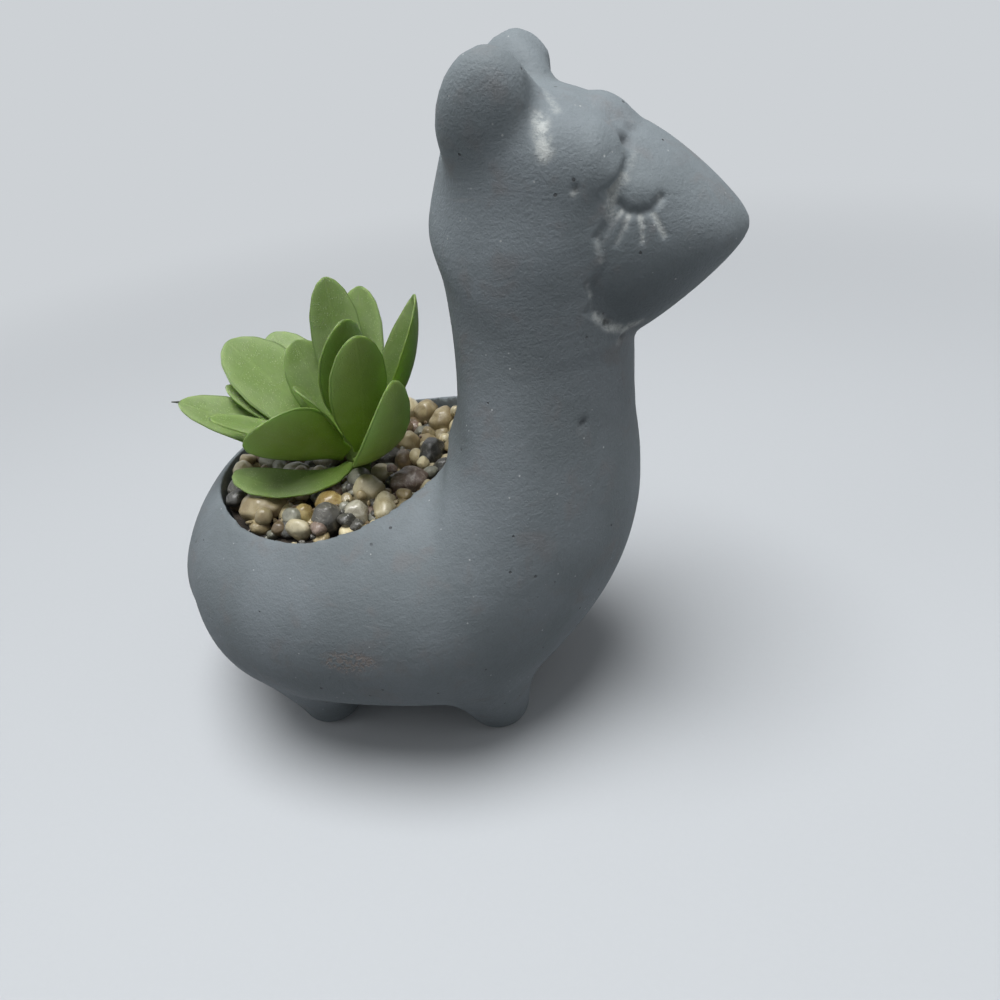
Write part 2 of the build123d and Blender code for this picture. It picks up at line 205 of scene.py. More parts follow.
def copy_node(node, name):
    """A copy of a CAD node's mesh as a piece of its own, with its loose triangles merged."""
    piece = bpy.data.objects.new(name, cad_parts[node].data.copy())
    piece.data.name = name
    piece.data.materials.clear()
    bpy.context.scene.collection.objects.link(piece)
    only(piece)
    bpy.ops.mesh.customdata_custom_splitnormals_clear()
    bpy.ops.object.mode_set(mode="EDIT")
    bpy.ops.mesh.select_all(action="SELECT")
    bpy.ops.mesh.remove_doubles(threshold=0.001 * MM)
    bpy.ops.object.mode_set(mode="OBJECT")
    return piece


def points_of(piece):
    """The places of a piece's points, in millimetres."""
    places = np.empty(len(piece.data.vertices) * 3)
    piece.data.vertices.foreach_get("co", places)
    return places.reshape(-1, 3) / MM


def normals_of(piece):
    """The way out of a piece at each of its points."""
    normals = np.empty(len(piece.data.vertices) * 3)
    piece.data.vertex_normals.foreach_get("vector", normals)
    return normals.reshape(-1, 3)


def put_points(piece, places):
    """Moves a piece's points to places given in millimetres."""
    piece.data.vertices.foreach_set("co", (places * MM).ravel())
    piece.data.update()


def put_mark(piece, name, values):
    """Stores a value on each point of a piece, for its finish to read."""
    mark = piece.data.attributes.new(name, "FLOAT", "POINT")
    mark.data.foreach_set("value", np.ascontiguousarray(values, dtype=np.float32))


def smooth(piece, angle):
    """Shades a piece smooth, except where faces meet at more than the angle, in degrees."""
    only(piece)
    bpy.ops.object.shade_smooth_by_angle(angle=math.radians(angle))


def ends_of(piece, edge):
    """The places of an edge's two ends, in metres."""
    return [piece.data.vertices[corner].co for corner in edge.vertices]


def pick_edges(piece, wanted):
    """Opens a piece for editing with only the wanted edges selected."""
    only(piece)
    bpy.ops.object.mode_set(mode="EDIT")
    bpy.ops.mesh.select_mode(type="EDGE")
    bpy.ops.mesh.select_all(action="DESELECT")
    bpy.ops.object.mode_set(mode="OBJECT")
    for edge in piece.data.edges:
        edge.select = wanted(edge)
    bpy.ops.object.mode_set(mode="EDIT")


# Camera

CAMERA_PLACE = (0.0465, -0.1301, 0.1342)
CAMERA_RIGHT = (0.97758, 0.17965, -0.10979)
CAMERA_UP = (-0.01057, 0.56266, 0.82662)
CAMERA_BACK = (0.21028, -0.80693, 0.55195)
# The lens and the width of the picture behind it, in the millimetres that Blender takes for both
LENS_LENGTH = 28.8
PICTURE_WIDTH = 36
NEAREST_SEEN = 10 * MM


def set_camera():
    """The camera at the place and the viewing angle of the photograph."""
    lens = bpy.data.cameras.new("view")
    lens.lens = LENS_LENGTH
    lens.sensor_width = PICTURE_WIDTH
    lens.clip_start = NEAREST_SEEN
    camera = bpy.data.objects.new("view", lens)
    bpy.context.scene.collection.objects.link(camera)
    turned = Matrix((CAMERA_RIGHT, CAMERA_UP, CAMERA_BACK)).transposed().to_4x4()
    camera.matrix_world = Matrix.Translation(CAMERA_PLACE) @ turned
    bpy.context.scene.camera = camera


# Casting

# Front edge of the woolly hood on the animal's right side, as X, Y, Z in millimetres: lobe after lobe from
# the forelock down the cheek, then forward below the jaw. The left side mirrors it.
HOOD_EDGE = [
    (41.5, 0.0, 125.0),
    (41.2, -2.2, 113.4),
    (40.6, -4.2, 112.9),
    (39.9, -5.1, 112.8),
    (39.4, -6.4, 112.2),
    (39.4, -9.5, 111.7),
    (39.5, -10.0, 110.7),
    (39.1, -10.6, 109.4),
    (38.3, -11.1, 108.0),
    (37.4, -11.7, 107.3),
    (36.5, -12.0, 106.8),
    (37.0, -11.5, 105.7),
    (37.2, -11.8, 104.2),
    (36.9, -12.2, 102.5),
    (36.0, -12.4, 101.2),
    (35.1, -12.6, 100.5),
    (35.6, -12.7, 99.4),
    (36.1, -12.9, 97.8),
    (36.0, -12.8, 96.2),
    (35.3, -12.7, 94.9),
    (34.2, -12.7, 94.0),
    (33.4, -13.0, 93.4),
    (33.9, -12.7, 92.1),
    (34.2, -12.5, 91.0),
    (33.8, -12.7, 89.9),
    (33.2, -12.8, 89.2),
    (34.2, -12.1, 88.4),
    (35.2, -11.2, 87.2),
    (36.0, -10.6, 86.0),
    (37.0, -9.7, 85.0),
    (38.4, -8.1, 84.2),
    (39.8, -8.0, 84.6),
    (41.5, -7.5, 85.1),
    (44.0, -4.0, 85.7),
    (50.0, 0.0, 87.0),
]
# Far points that close the hood's outline behind and below the animal, as X and Z
HOOD_CLOSING = [(90, 87), (90, -10), (-90, -10), (-90, 140), (41.5, 140)]
# The closed right eye: its middle and reach, the lid above it, the crease under the lid and the lashes below
EYE = (41.5, -11.5, 102.5)
EYE_REACH = 7
LID = (41.7, -10.6, 106.0)
LID_CREASE = [
    (38.8, -11.8, 104.4),
    (39.8, -11.9, 103.4),
    (41.4, -11.7, 103.0),
    (43.1, -11.3, 103.3),
    (44.5, -10.5, 104.6),
]
LASHES = [
    [(39.0, -11.9, 103.4), (37.6, -12.1, 101.9), (36.3, -12.7, 99.6)],
    [(40.0, -12.0, 102.6), (39.3, -12.3, 101.0), (38.2, -12.6, 99.2)],
    [(41.7, -11.8, 102.4), (41.9, -12.0, 101.1), (41.9, -12.2, 99.2)],
    [(43.5, -11.5, 102.5), (44.2, -11.5, 101.3), (44.9, -11.6, 99.6)],
]
# Pits that air bubbles and the mould left, on the right side only: place, depth and radius, in millimetres
PITS = [
    ((39.5, -7.2, 112.0), 0.8, 1.1),
    ((40.3, -4.8, 113.6), 0.4, 0.9),
    ((36.0, -10.9, 86.4), 0.9, 0.55),
    ((38.4, -8.4, 82.6), 0.7, 0.6),
    ((32.2, -15.9, 71.4), 1.0, 0.65),
    ((31.3, -16.0, 71.7), 0.6, 0.5),
    ((32.8, -14.0, 107.4), 0.35, 0.6),
]
# Pale lime left by the mould: rows of places with the width that it spreads over and its strength
RESIDUE = [
    ([(28.4, -12.4, 116.6), (28.6, -13.6, 114.6), (28.9, -14.6, 112.4)], 1.5, 0.95),
    ([(26.6, -4.0, 119.0), (29.1, -7.6, 118.0), (30.2, -9.9, 116.9)], 1.3, 0.55),
    ([(33.0, -14.0, 107.4), (32.4, -14.1, 106.9)], 0.7, 0.8),
    ([(40.8, -8.0, 110.2), (40.0, -9.6, 108.6)], 1.3, 0.4),
    ([(39.0, -10.4, 107.6), (37.6, -11.6, 105.8), (37.3, -11.9, 102.6)], 1.2, 0.9),
    ([(39.5, -9.4, 111.0), (39.9, -8.2, 112.2)], 0.8, 0.5),
    ([(36.2, -12.3, 101.4), (35.4, -12.7, 99.8), (35.8, -12.8, 97.0)], 0.8, 0.85),
    ([(33.6, -12.9, 93.4), (34.0, -12.6, 91.4)], 0.6, 0.8),
    ([(33.9, -12.6, 90.0), (33.8, -12.5, 88.8)], 0.6, 0.6),
    ([(34.4, -11.9, 88.0), (36.2, -10.4, 85.8), (38.4, -8.2, 84.4), (41.0, -7.6, 85.2)], 1.2, 0.9),
    ([(37.0, -8.8, 82.6), (39.6, -7.8, 81.4), (41.4, -6.0, 81.6)], 1.0, 0.5),
    ([(44.2, -10.4, 104.6), (44.8, -10.6, 101.8)], 0.8, 0.45),
]
# How far the carving stands out or is cut in, and how wide it is, in millimetres
LIP_HEIGHT = 0.85
LIP_FADE = 6.5
GROOVE_DEPTH = 0.15
GROOVE_WIDTH = 0.6
LID_HEIGHT = 0.65
LID_WIDTH = 3.0
CREASE_DEPTH = 0.5
CREASE_WIDTH = 0.65
LASH_DEPTH = 0.3
LASH_WIDTH = 0.5
LASH_LIME_WIDTH = 0.6
# The middles of the cheek and of the rump, in millimetres, and how far each form swells or shrinks
CHEEK = (29, 13, 99)
RUMP = (-38, 0, 12)
CHEEK_SWELL = 0.9
RUMP_SWELL = -1.1
EAR_SWELL = 0.5
TRUNK_SWELL = 0.25
# Hollow lines, by how far a point lies below its neighbours' mean in millimetres, and how they spread
HOLLOW_LEAST = 0.012
HOLLOW_RANGE = 0.03
HOLLOW_STEPS = 5
HOLLOW_GAIN = 1.15
# The distance between the points of the cement skin
SKIN_STEP = 0.8 * MM
# Points with less weight than this are left as they are when a part is softened
LEAST_WEIGHT = 0.03
# The well's wall: its gap to the foam, its lower end above the foam's and its top in the nape
WELL_GAP = 0.8 * MM
WELL_CORNER = 6.5 * MM
WELL_TOP = 72.2 * MM
WELL_SIDES = 180
WELL_RINGS = 44
RIM_ANGLE = 42
# The flare above each foot: the foot's X and Y, and how far the flare's wide end leans outward
HAUNCHES = [(10.4 * MM, 15 * MM, 5 * MM), (-27.2 * MM, 16.9 * MM, 4 * MM)]
HAUNCH_FOOT = 6.2 * MM
HAUNCH_TOP = 11.5 * MM
HAUNCH_START = 1.5 * MM
HAUNCH_HEIGHT = 20 * MM
# How much of that lean also goes along the belly
HAUNCH_SLANT = 0.35


def distance_to(places, row):
    """How far each place is from a row of points, in millimetres."""
    nearest = np.full(len(places), np.inf)
    for start, end in zip(row, row[1:]):
        start = np.array(start)
        run = np.array(end) - start
        share = np.clip((places - start) @ run / (run @ run), 0, 1)
        nearest = np.minimum(nearest, np.linalg.norm(places - start - share[:, None] * run, axis=1))
    return nearest


def bell(distance, width):
    """1 at no distance, falling softly to nearly 0 at twice the width."""
    return np.exp(-((distance / width) ** 2))


def soft_step(values):
    """0 up to 0, 1 from 1 on and a soft step between them."""
    share = np.clip(values, 0, 1)
    return share * share * (3 - 2 * share)


def above(values, start, run):
    """0 up to the start and 1 from a run beyond it."""
    return soft_step((values - start) / run)


def below(values, end, run):
    """1 up to a run before the end and 0 beyond it."""
    return soft_step((end - values) / run)


def from_spot(places, spot, spread=(1, 1, 1)):
    """How far each place is from a spot, measured shorter along an axis with more spread."""
    return np.linalg.norm((places - spot) / spread, axis=1)


def on_right(places):
    """The places, with those of the left side mirrored onto the right."""
    return places * np.where(places[:, 1:2] > 0, (1, -1, 1), (1, 1, 1))


def inside_hood(side_view):
    """Which places, seen from the side, lie behind and below the hood's front edge."""
    outline = [(x, z) for x, _, z in HOOD_EDGE] + HOOD_CLOSING
    inside = np.zeros(len(side_view), dtype=bool)
    for (ax, az), (bx, bz) in zip(outline, outline[1:] + outline[:1]):
        if az == bz:
            continue
        spans = (az > side_view[:, 1]) != (bz > side_view[:, 1])
        crossing = ax + (side_view[:, 1] - az) * (bx - ax) / (bz - az)
        inside ^= spans & (side_view[:, 0] < crossing)
    return inside


def refine(piece, chosen):
    """Splits each edge of the faces whose points are all chosen in two."""
    only(piece)
    piece.data.vertices.foreach_set("select", np.zeros(len(piece.data.vertices), dtype=bool))
    piece.data.edges.foreach_set("select", np.zeros(len(piece.data.edges), dtype=bool))
    picked = [all(chosen[corner] for corner in face.vertices) for face in piece.data.polygons]
    piece.data.polygons.foreach_set("select", picked)
    bpy.ops.object.mode_set(mode="EDIT")
    bpy.ops.mesh.select_mode(type="FACE")
    bpy.ops.mesh.subdivide(number_cuts=1, smoothness=0)
    bpy.ops.object.mode_set(mode="OBJECT")


def neighbour_means(piece, values):
    """For each point of a piece, the mean of its neighbours' values."""
    ends = np.empty(len(piece.data.edges) * 2, dtype=np.int32)
    piece.data.edges.foreach_get("vertices", ends)
    first, second = ends.reshape(-1, 2).T
    sums = np.zeros_like(values)
    counts = np.zeros(len(values))
    for here, there in ((first, second), (second, first)):
        np.add.at(sums, here, values[there])
        np.add.at(counts, here, 1)
    return sums / np.maximum(counts, 1).reshape((-1,) + (1,) * (values.ndim - 1))


def fill_hollows(piece, rounds):
    """Runs the sharp hollow lines where forms meet into soft fillets and leaves the rest."""
    places = points_of(piece)
    bend = ((neighbour_means(piece, places) - places) * normals_of(piece)).sum(axis=1)
    weights = np.clip((bend - HOLLOW_LEAST) / HOLLOW_RANGE, 0, 1)
    for _ in range(HOLLOW_STEPS):
        weights = np.maximum(weights, neighbour_means(piece, weights) * HOLLOW_GAIN)
    soften(piece, weights * above(places[:, 2], 3, 3), rounds)


def bore_well(casting):
    """Cuts the planting well's wall anew, so that its rim is true, and takes the edge off the rim."""
    low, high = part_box("foam_plug")
    bottom = low.z + WELL_CORNER
    bpy.ops.object.select_all(action="DESELECT")
    bpy.ops.mesh.primitive_cylinder_add(
        vertices=WELL_SIDES,
        radius=(high.x - low.x) / 2 + WELL_GAP,
        depth=WELL_TOP - bottom,
        location=((low.x + high.x) / 2, 0, (WELL_TOP + bottom) / 2),
    )
    core = bpy.context.object

    def upright(edge):
        first, second = ends_of(core, edge)
        return abs(first.z - second.z) > 1 * MM

    # Rings down the wall, about as close as the casting's own points
    pick_edges(core, upright)
    bpy.ops.mesh.subdivide(number_cuts=WELL_RINGS, smoothness=0)
    bpy.ops.object.mode_set(mode="OBJECT")
    modify(casting, "BOOLEAN", object=core, operation="DIFFERENCE", solver="MANIFOLD")
    bpy.data.objects.remove(core)
    only(casting)
    bpy.ops.object.mode_set(mode="EDIT")
    bpy.ops.mesh.select_mode(type="EDGE")
    bpy.ops.mesh.select_all(action="DESELECT")
    bpy.ops.mesh.edges_select_sharp(sharpness=math.radians(RIM_ANGLE))
    bpy.ops.mesh.vertices_smooth(factor=0.5, repeat=3)
    bpy.ops.object.mode_set(mode="OBJECT")


def add_haunches(casting):
    """Joins a flared cone to the casting above each foot, where the leg runs out into the flank."""
    between = sum(x for x, _, _ in HAUNCHES) / len(HAUNCHES)
    haunches = []
    for x, y, lean in HAUNCHES:
        inward = math.copysign(HAUNCH_SLANT * lean, between - x)
        for side in (-1, 1):
            bpy.ops.object.select_all(action="DESELECT")
            bpy.ops.mesh.primitive_cone_add(
                vertices=40,
                radius1=HAUNCH_FOOT,
                radius2=HAUNCH_TOP,
                depth=HAUNCH_HEIGHT,
                location=(x, side * y, HAUNCH_START + HAUNCH_HEIGHT / 2),
            )
            haunch = bpy.context.object
            bpy.ops.object.transform_apply(location=True, rotation=False, scale=False)
            for point in haunch.data.vertices:
                if point.co.z > HAUNCH_HEIGHT / 2:
                    point.co += Vector((inward, side * lean, 0))
            haunches.append(haunch)
    join([casting, *haunches], "llama_casting")


def soften(piece, weights, rounds):
    """Smooths a piece more where the weights are higher."""
    group = piece.vertex_groups.new(name="soft")
    for number in np.nonzero(weights > LEAST_WEIGHT)[0]:
        group.add([int(number)], float(min(1, weights[number])), "REPLACE")
    modify(piece, "SMOOTH", factor=0.5, iterations=rounds, vertex_group="soft")
    piece.vertex_groups.clear()


def round_forms(casting):
    """Softens and swells the casting form by form. Heights and places are in millimetres."""
    fill_hollows(casting, 34)
    height = points_of(casting)[:, 2]
    underside = above(height, 2.5, 3) * below(height, 27, 6)
    soften(casting, underside, 40)
    places = points_of(casting)
    x, y, z = places.T
    ears = above(z, 102, 14) * below(x, 35, 6)
    soften(casting, ears, 16)
    trunk = below(z, 55, 8) * above(z, 8, 6)
    soften(casting, trunk, 50)
    under_hood = bell(z - 107, 6) * below(x, 36, 5) * above(np.abs(y), 5, 3)
    soften(casting, 1.3 * under_hood, 90)
    rump = bell(from_spot(places, RUMP, (1, 3, 1)), 9)
    cheeks = bell(from_spot(np.abs(places), CHEEK, (1.2, 1, 1)), 6.5)
    swell = EAR_SWELL * ears + TRUNK_SWELL * trunk + RUMP_SWELL * rump + CHEEK_SWELL * cheeks
    put_points(casting, points_of(casting) + normals_of(casting) * swell[:, None])


def smooth_nape(casting):
    """Runs the well out into the nape without a fold."""
    places = points_of(casting)
    low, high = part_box("foam_plug")
    from_axis = np.hypot(places[:, 0] - (low.x + high.x) / 2 / MM, places[:, 1])
    beside_well = above(from_axis, 26.6, 1.5) * below(from_axis, 36, 4)
    beside_well *= above(places[:, 0], -2, 5) * bell(places[:, 2] - 66, 11)
    soften(casting, beside_well * 1.5, 60)


def refine_face(casting):
    """Gives the face, and the eyes twice over, points that are close enough to carve."""
    x, y, z = points_of(casting).T
    refine(casting, (x > 26) & (z > 78) & (x < 48) & (np.abs(y) > 3))
    refine(casting, from_spot(on_right(points_of(casting)), EYE) < EYE_REACH)
    modify(casting, "SMOOTH", factor=0.5, iterations=3)


def hood_relief(right_side):
    """How far the hood stands proud of the face: a rolled lip that fades into the wool behind it."""
    x, _, z = right_side.T
    from_edge = distance_to(right_side * (1, 0, 1), [(edge_x, 0, edge_z) for edge_x, _, edge_z in HOOD_EDGE])
    from_edge = np.where(inside_hood(right_side[:, ::2]), from_edge, -from_edge)
    lip = above(from_edge, -0.5, 1.3) * np.exp(-np.clip(from_edge, 0, None) / LIP_FADE)
    groove = bell(from_edge + 0.55, GROOVE_WIDTH)
    on_head = above(z, 80, 3) * above(x, 22, 6)
    forelock = above(z, 108.5, 3) * above(x, 35, 3)
    on_head = on_head * (1 - 0.75 * forelock) * (0.6 + 0.4 * above(z, 101, 4))
    off_jaw = 1 - above(x, 36.5, 3) * below(z, 92, 3)
    return on_head * off_jaw * (LIP_HEIGHT * lip - GROOVE_DEPTH * groove)


def carve_face(casting):
    """Carves the hood's edge, the closed eyes and the pits, and marks where lime lies and where shade is
    painted in the lid crease and the pits.
    """
    places = points_of(casting)
    right_side = on_right(places)
    crease = distance_to(right_side, LID_CREASE)
    push = hood_relief(right_side)
    push += LID_HEIGHT * bell(from_spot(right_side, LID, (1.2, 1, 0.8)), LID_WIDTH)
    push -= CREASE_DEPTH * bell(crease, CREASE_WIDTH)
    # Painted shade along the lid's crease
    soot = 0.35 * bell(crease, 0.5)
    lime = np.zeros(len(places))
    for lash in LASHES:
        from_lash = distance_to(right_side, lash)
        push -= LASH_DEPTH * bell(from_lash, LASH_WIDTH)
        lime = np.maximum(lime, bell(from_lash, LASH_LIME_WIDTH))
    for place, depth, radius in PITS:
        pit = bell(from_spot(places, place), radius)
        push -= depth * pit
        # Painted shade in each pit
        soot = np.maximum(soot, pit)
    for row, width, strength in RESIDUE:
        lime = np.maximum(lime, strength * bell(distance_to(places, row), width))
    put_points(casting, places + normals_of(casting) * push[:, None])
    put_mark(casting, "lime", lime)
    put_mark(casting, "soot", soot)


def make_casting():
    """The llama's cement skin: the CAD casting, softened, with its wool, eyelids and lashes carved."""
    casting = copy_node("pot", "llama_casting")
    add_haunches(casting)
    modify(casting, "REMESH", mode="VOXEL", voxel_size=SKIN_STEP)
    modify(casting, "SMOOTH", factor=0.5, iterations=6)
    round_forms(casting)
    bore_well(casting)
    smooth_nape(casting)
    refine_face(casting)
    carve_face(casting)
    smooth(casting, 80)
    casting.data.materials.clear()
    casting.data.materials.append(cement())
    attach(casting, "pot")
    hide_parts("pot")


# Cement in darker and lighter clouds, its warmer patches, what lies in it and on it, and the painted shade of
# its pinholes, lid crease and pits
CEMENT_SHADE = paint(106, 114, 118)
CEMENT_LIGHT = paint(118, 126, 131)
CEMENT_PATCH = paint(113, 112, 113)
PINHOLE_SHADE = paint(60, 62, 64)
PALE_SPECK = paint(205, 208, 208)
SCRATCH = paint(146, 150, 152)
LIME = paint(204, 208, 206)
PAINTED_HOLLOW_SHADE = paint(70, 72, 75)
SCUFF = paint(128, 117, 110)
# The shift that centres a pattern on the scuff, the scuff's radius where it is full and where it ends,
# and how far its ragged edge wanders
SCUFF_SHIFT = (8.1 * MM, 37.9 * MM, -36.9 * MM)
SCUFF_CORE = 3.5 * MM
SCUFF_EDGE = 6.2 * MM
SCUFF_RAGGED = 6 * MM


def cement():
    """Cast grey cement: cloudy, fine grained, with pinholes, lime and a scuff on the right flank, painted light
    on the head, and painted shade on the neck, down the belly, in the pinholes and in the lid crease and pits.
    """
    finish = Finish("cast_cement")
    clouds = finish.noise(55, 4, 0.55)
    patches = finish.noise(170, 3, 0.6, distortion=0.6)
    grain = finish.noise(2600, 2, 0.6)
    sand = finish.noise(900, 3, 0.65)
    colour = finish.mix(CEMENT_SHADE, CEMENT_LIGHT, clouds.rise(0.35, 0.68))
    colour = finish.mix(colour, CEMENT_PATCH, patches.rise(0.52, 0.74) * 0.5)
    # Painted light on the head, and painted shade on the neck below the hood and down the belly
    height = finish.part(finish.place, 2)
    painted_light_head = height.rise(84 * MM, 112 * MM) * 0.14
    painted_shade_neck = height.rise(55 * MM, 72 * MM) * height.rise(100 * MM, 88 * MM) * 0.19
    painted_shade_belly = height.rise(66 * MM, 12 * MM) * 0.19
    level = 0.84 + 0.2 * grain + 0.14 * sand + painted_light_head - painted_shade_neck - painted_shade_belly
    colour = finish.tint(colour, level)
    # Pinholes, in about a third of the cells of a fine pattern, darkened with painted shade, and pale specks
    pin_luck = finish.node("SeparateColor", {}, {0: finish.cells(330, "Color")}, 0)
    pinholes = finish.cells(330).rise(0.1, 0.06) * pin_luck.rise(0.64, 0.68)
    pale_specks = finish.cells(430).rise(0.085, 0.045) * finish.noise(120, 1).rise(0.44, 0.58)
    colour = finish.mix(colour, PINHOLE_SHADE, pinholes * 0.8)
    colour = finish.mix(colour, PALE_SPECK, pale_specks * 0.5)
    # Faint scratches, drawn out level with the table
    drawn_out = finish.moved(stretch=(0.12, 0.12, 1.6))
    scratches = finish.noise(900, 2, 0.5, drawn_out, 0.6).rise(0.66, 0.74)
    scratches = scratches * finish.noise(90, 2).rise(0.5, 0.65)
    colour = finish.mix(colour, SCRATCH, scratches * 0.3)
    # Lime in patches, and painted shade in the lid crease and the pits
    lime = finish.mark("lime")
    patchy = (finish.noise(700, 4, 0.7).rise(0.25, 0.7) * 0.65 + 0.35) * lime
    lime_share = patchy.rise(0.1, 1.0)
    colour = finish.mix(colour, LIME, lime_share * 0.85)
    colour = finish.mix(colour, PAINTED_HOLLOW_SHADE, finish.mark("soot") * 0.6)
    # The scuff: a flat oval with a ragged edge
    squashed = {0: finish.moved(SCUFF_SHIFT), 1: (1, 1, 2.2)}
    reach = finish.length(finish.node("VectorMath", {"operation": "MULTIPLY"}, squashed))
    ragged = reach + (finish.noise(500, 4, 0.7) - 0.5) * SCUFF_RAGGED
    scuff = ragged.rise(SCUFF_EDGE, SCUFF_CORE) * finish.noise(1500, 3, 0.6).rise(0.42, 0.6)
    colour = finish.mix(colour, SCUFF, scuff * 0.6)
    finish.set("Base Color", colour)
    finish.set("Roughness", 0.78 - 0.1 * clouds + 0.15 * lime_share)
    strokes = finish.noise(420, 3, 0.6, finish.moved(stretch=(0.5, 0.5, 1.8)))
    coarse = finish.relief(patches + 0.5 * sand + 0.4 * strokes, 0.11 * MM)
    fine = grain + 0.8 * sand + 0.8 * lime_share - 2.6 * pinholes - scuff
    finish.set("Normal", finish.relief(fine, 0.09 * MM, coarse))
    return finish.material


# Gravel

# Each kind of stone: two body colours, the colour of its specks, how many there are, how matt it is and
# how rough to the touch
STONES = {
    "tan": ((176, 162, 126), (142, 126, 92), (104, 86, 58), 0.3, 0.28, 0.4),
    "brown": ((134, 116, 88), (98, 82, 60), (168, 148, 112), 0.35, 0.32, 0.5),
    "cream": ((226, 216, 182), (202, 188, 148), (132, 108, 74), 0.4, 0.28, 0.45),
    "grey": ((152, 152, 136), (122, 121, 108), (82, 80, 70), 0.35, 0.34, 0.5),
    "amber": ((184, 168, 116), (146, 124, 76), (108, 84, 48), 0.4, 0.18, 0.3),
    "black": ((66, 66, 62), (90, 88, 82), (176, 174, 164), 0.45, 0.26, 0.9),
    "quartz": ((198, 194, 176), (158, 152, 134), (128, 116, 94), 0.35, 0.18, 0.4),
    "red": ((146, 126, 112), (116, 96, 84), (220, 212, 200), 0.7, 0.36, 1.0),
}
# The kinds that broke a short while ago, so that their corners are less worn
SHARP_KINDS = ("red", "black", "quartz")
# How much larger each pebble is than its solid, which wear makes up for
PEBBLE_SCALE = 1.1
# The distance between the points of a pebble and of a small stone while they are worn down
PEBBLE_STEP = 0.33 * MM
SMALL_STEP = 0.3 * MM
# The lumps that a worn stone keeps: their size, their height and the share of it that is cut in
LUMP_SIZE = 3.2 * MM
LUMP_HEIGHT = 0.8 * MM
LUMP_CUT = 0.3
# Nothing lies on a pebble above this height
PEBBLE_CROWN = 52.4 * MM
# Small stones between the pebbles, layer by layer, and the grit on them: how many, their least and greatest
# size and the height up to which they fill the bed's middle, in millimetres
FILLER_LAYERS = [(110, 4.2, 5.8, 51.8), (60, 3.6, 5.0, 53.2), (60, 2.4, 3.4, 53.4)]
GRIT_LAYER = (170, 0.8, 1.6, 54.4)
# The kinds that the small stones are dealt out to, in turn
SMALL_KINDS = ("tan", "brown", "cream", "grey", "black", "tan", "red", "grey")
DEAL_STEP = 5
# A small stone before it is scaled, how many shapes there are, and how often a rough and a worn one are cut
CHIP_SIZE = 4 * MM
CHIP_SHAPES = 6
CHIP_CUTS = 7
WORN_CUTS = 5
GRAVEL_SEED = 11
TRIES_EACH = 60
# Small stones fall from this height. They keep clear of the stem, and the bed rises this much to its rim
DROP_HEIGHT = 80 * MM
STEM_CLEARANCE = 3.0 * MM
WALL_OVERLAP = 0.5 * MM
BED_SLOPE = 0.06
# Shares of a small stone's size: what it keeps from the wall and from the stem, how far around it the bed
# is felt, how much lower the bed may be there, how near the next stone is and how high its middle lies
WALL_SHARE = 0.42
STEM_SHARE = 0.6
FEEL_SHARE = 0.7
FALL_SHARE = 0.08
NEXT_SHARE = 0.4
RAISED_SHARE = 0.2
FLATTENED = 0.85


def stone_finish(kind):
    """One kind of stone: cloudy, veined and specked, with a thin polish."""
    body, second, specks, speck_share, matt, touch = STONES[kind]
    finish = Finish(f"{kind}_pebble", coat_weight=0.25, coat_roughness=0.16)
    tone = finish.mark("tone")
    blotches = finish.noise(260, 4, 0.6, distortion=0.8)
    veins = finish.noise(520, 5, 0.65, distortion=2.4)
    grain = finish.noise(2400, 3, 0.65)
    cloudy = (blotches.rise(0.35, 0.65) * 0.75 + tone * 0.35).rise(0, 1)
    colour = finish.mix(paint(*body), paint(*second), cloudy)
    colour = finish.mix(colour, paint(*specks), veins.rise(0.62 - 0.2 * speck_share, 0.8) * 0.75)
    glints = finish.cells(1700).rise(0.2, 0.08) * finish.noise(1400, 1).rise(0.55 - 0.12 * speck_share, 0.7)
    colour = finish.mix(colour, paint(*specks), glints * 0.8)
    finish.set("Base Color", finish.tint(colour, 0.6 + 0.46 * tone + 0.14 * grain))
    finish.set("Roughness", matt + 0.22 * (grain - 0.5) + 0.15 * blotches)
    coarse = finish.relief(blotches + 0.5 * veins, 0.25 * touch * MM)
    finish.set("Normal", finish.relief(grain, 0.09 * touch * MM, coarse))
    return finish.material


def tumble(stone, step, rounds, lumps):
    """Wears one stone's corners down and leaves it a little uneven."""
    modify(stone, "REMESH", mode="VOXEL", voxel_size=step)
    modify(stone, "SMOOTH", factor=0.5, iterations=rounds)
    modify(stone, "DISPLACE", texture=lumps, texture_coords="LOCAL", strength=LUMP_HEIGHT, mid_level=LUMP_CUT)
    modify(stone, "SMOOTH", factor=0.5, iterations=2)


def make_stones(kind, chance, lumps):
    """All pebbles of one kind: the CAD stones tumbled smooth one at a time."""
    pile = copy_node(f"pebbles_{kind}", f"{kind}_pebbles")
    only(pile)
    bpy.ops.mesh.separate(type="LOOSE")
    stones = sorted(bpy.context.selected_objects, key=lambda piece: piece.name)
    for stone in stones:
        places = points_of(stone)
        middle = places.mean(axis=0)
        put_points(stone, middle + (places - middle) * PEBBLE_SCALE)
        tumble(stone, PEBBLE_STEP, 2 if kind in SHARP_KINDS else 5, lumps)
        put_mark(stone, "tone", np.full(len(stone.data.vertices), chance.random()))
    return join(stones, f"{kind}_pebbles")


